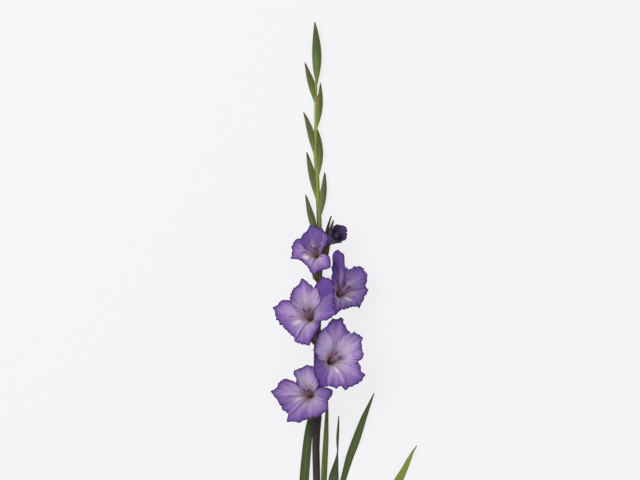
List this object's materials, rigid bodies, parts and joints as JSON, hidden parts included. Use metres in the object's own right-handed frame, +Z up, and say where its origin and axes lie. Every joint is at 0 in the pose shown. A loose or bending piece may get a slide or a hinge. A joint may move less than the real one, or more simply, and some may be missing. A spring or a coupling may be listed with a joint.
{
  "type": "gladiolus stem",
  "caption": "Cut gladiolus stem lying down, with open violet blooms, a half-open bud, green buds above and sword-shaped leaves round its foot.",
  "frame": {"origin": "on the surface that the stem lies on, at the flat underside of its main axis, below the spike's lower half", "axes": "+Y along the stem from its cut end to its tip, +Z up from the surface, the way that the blooms open, +X to the right as seen from above with the tip up"},
  "size_m": [0.2062, 0.949, 0.0842],
  "materials": {
    "stem_green": "smooth, waxy",
    "leaf_green": "satin, finely ribbed",
    "petal_violet": "soft, matt",
    "bud_violet": "soft, matt",
    "anther_violet": "powdery"
  },
  "bodies": {
    "root": {"stem": "stem_green", "leaf_1": "leaf_green", "leaf_2": "leaf_green", "leaf_3": "leaf_green", "leaf_4": "leaf_green", "leaf_5": "leaf_green", "bloom_1": "petal_violet", "bloom_2": "petal_violet", "bloom_3": "petal_violet", "bloom_4": "petal_violet", "bloom_5": "petal_violet", "stamens_1": "anther_violet", "stamens_2": "anther_violet", "stamens_3": "anther_violet", "stamens_4": "anther_violet", "stamens_5": "anther_violet", "opening_bud": "bud_violet"}
  },
  "joints": []
}
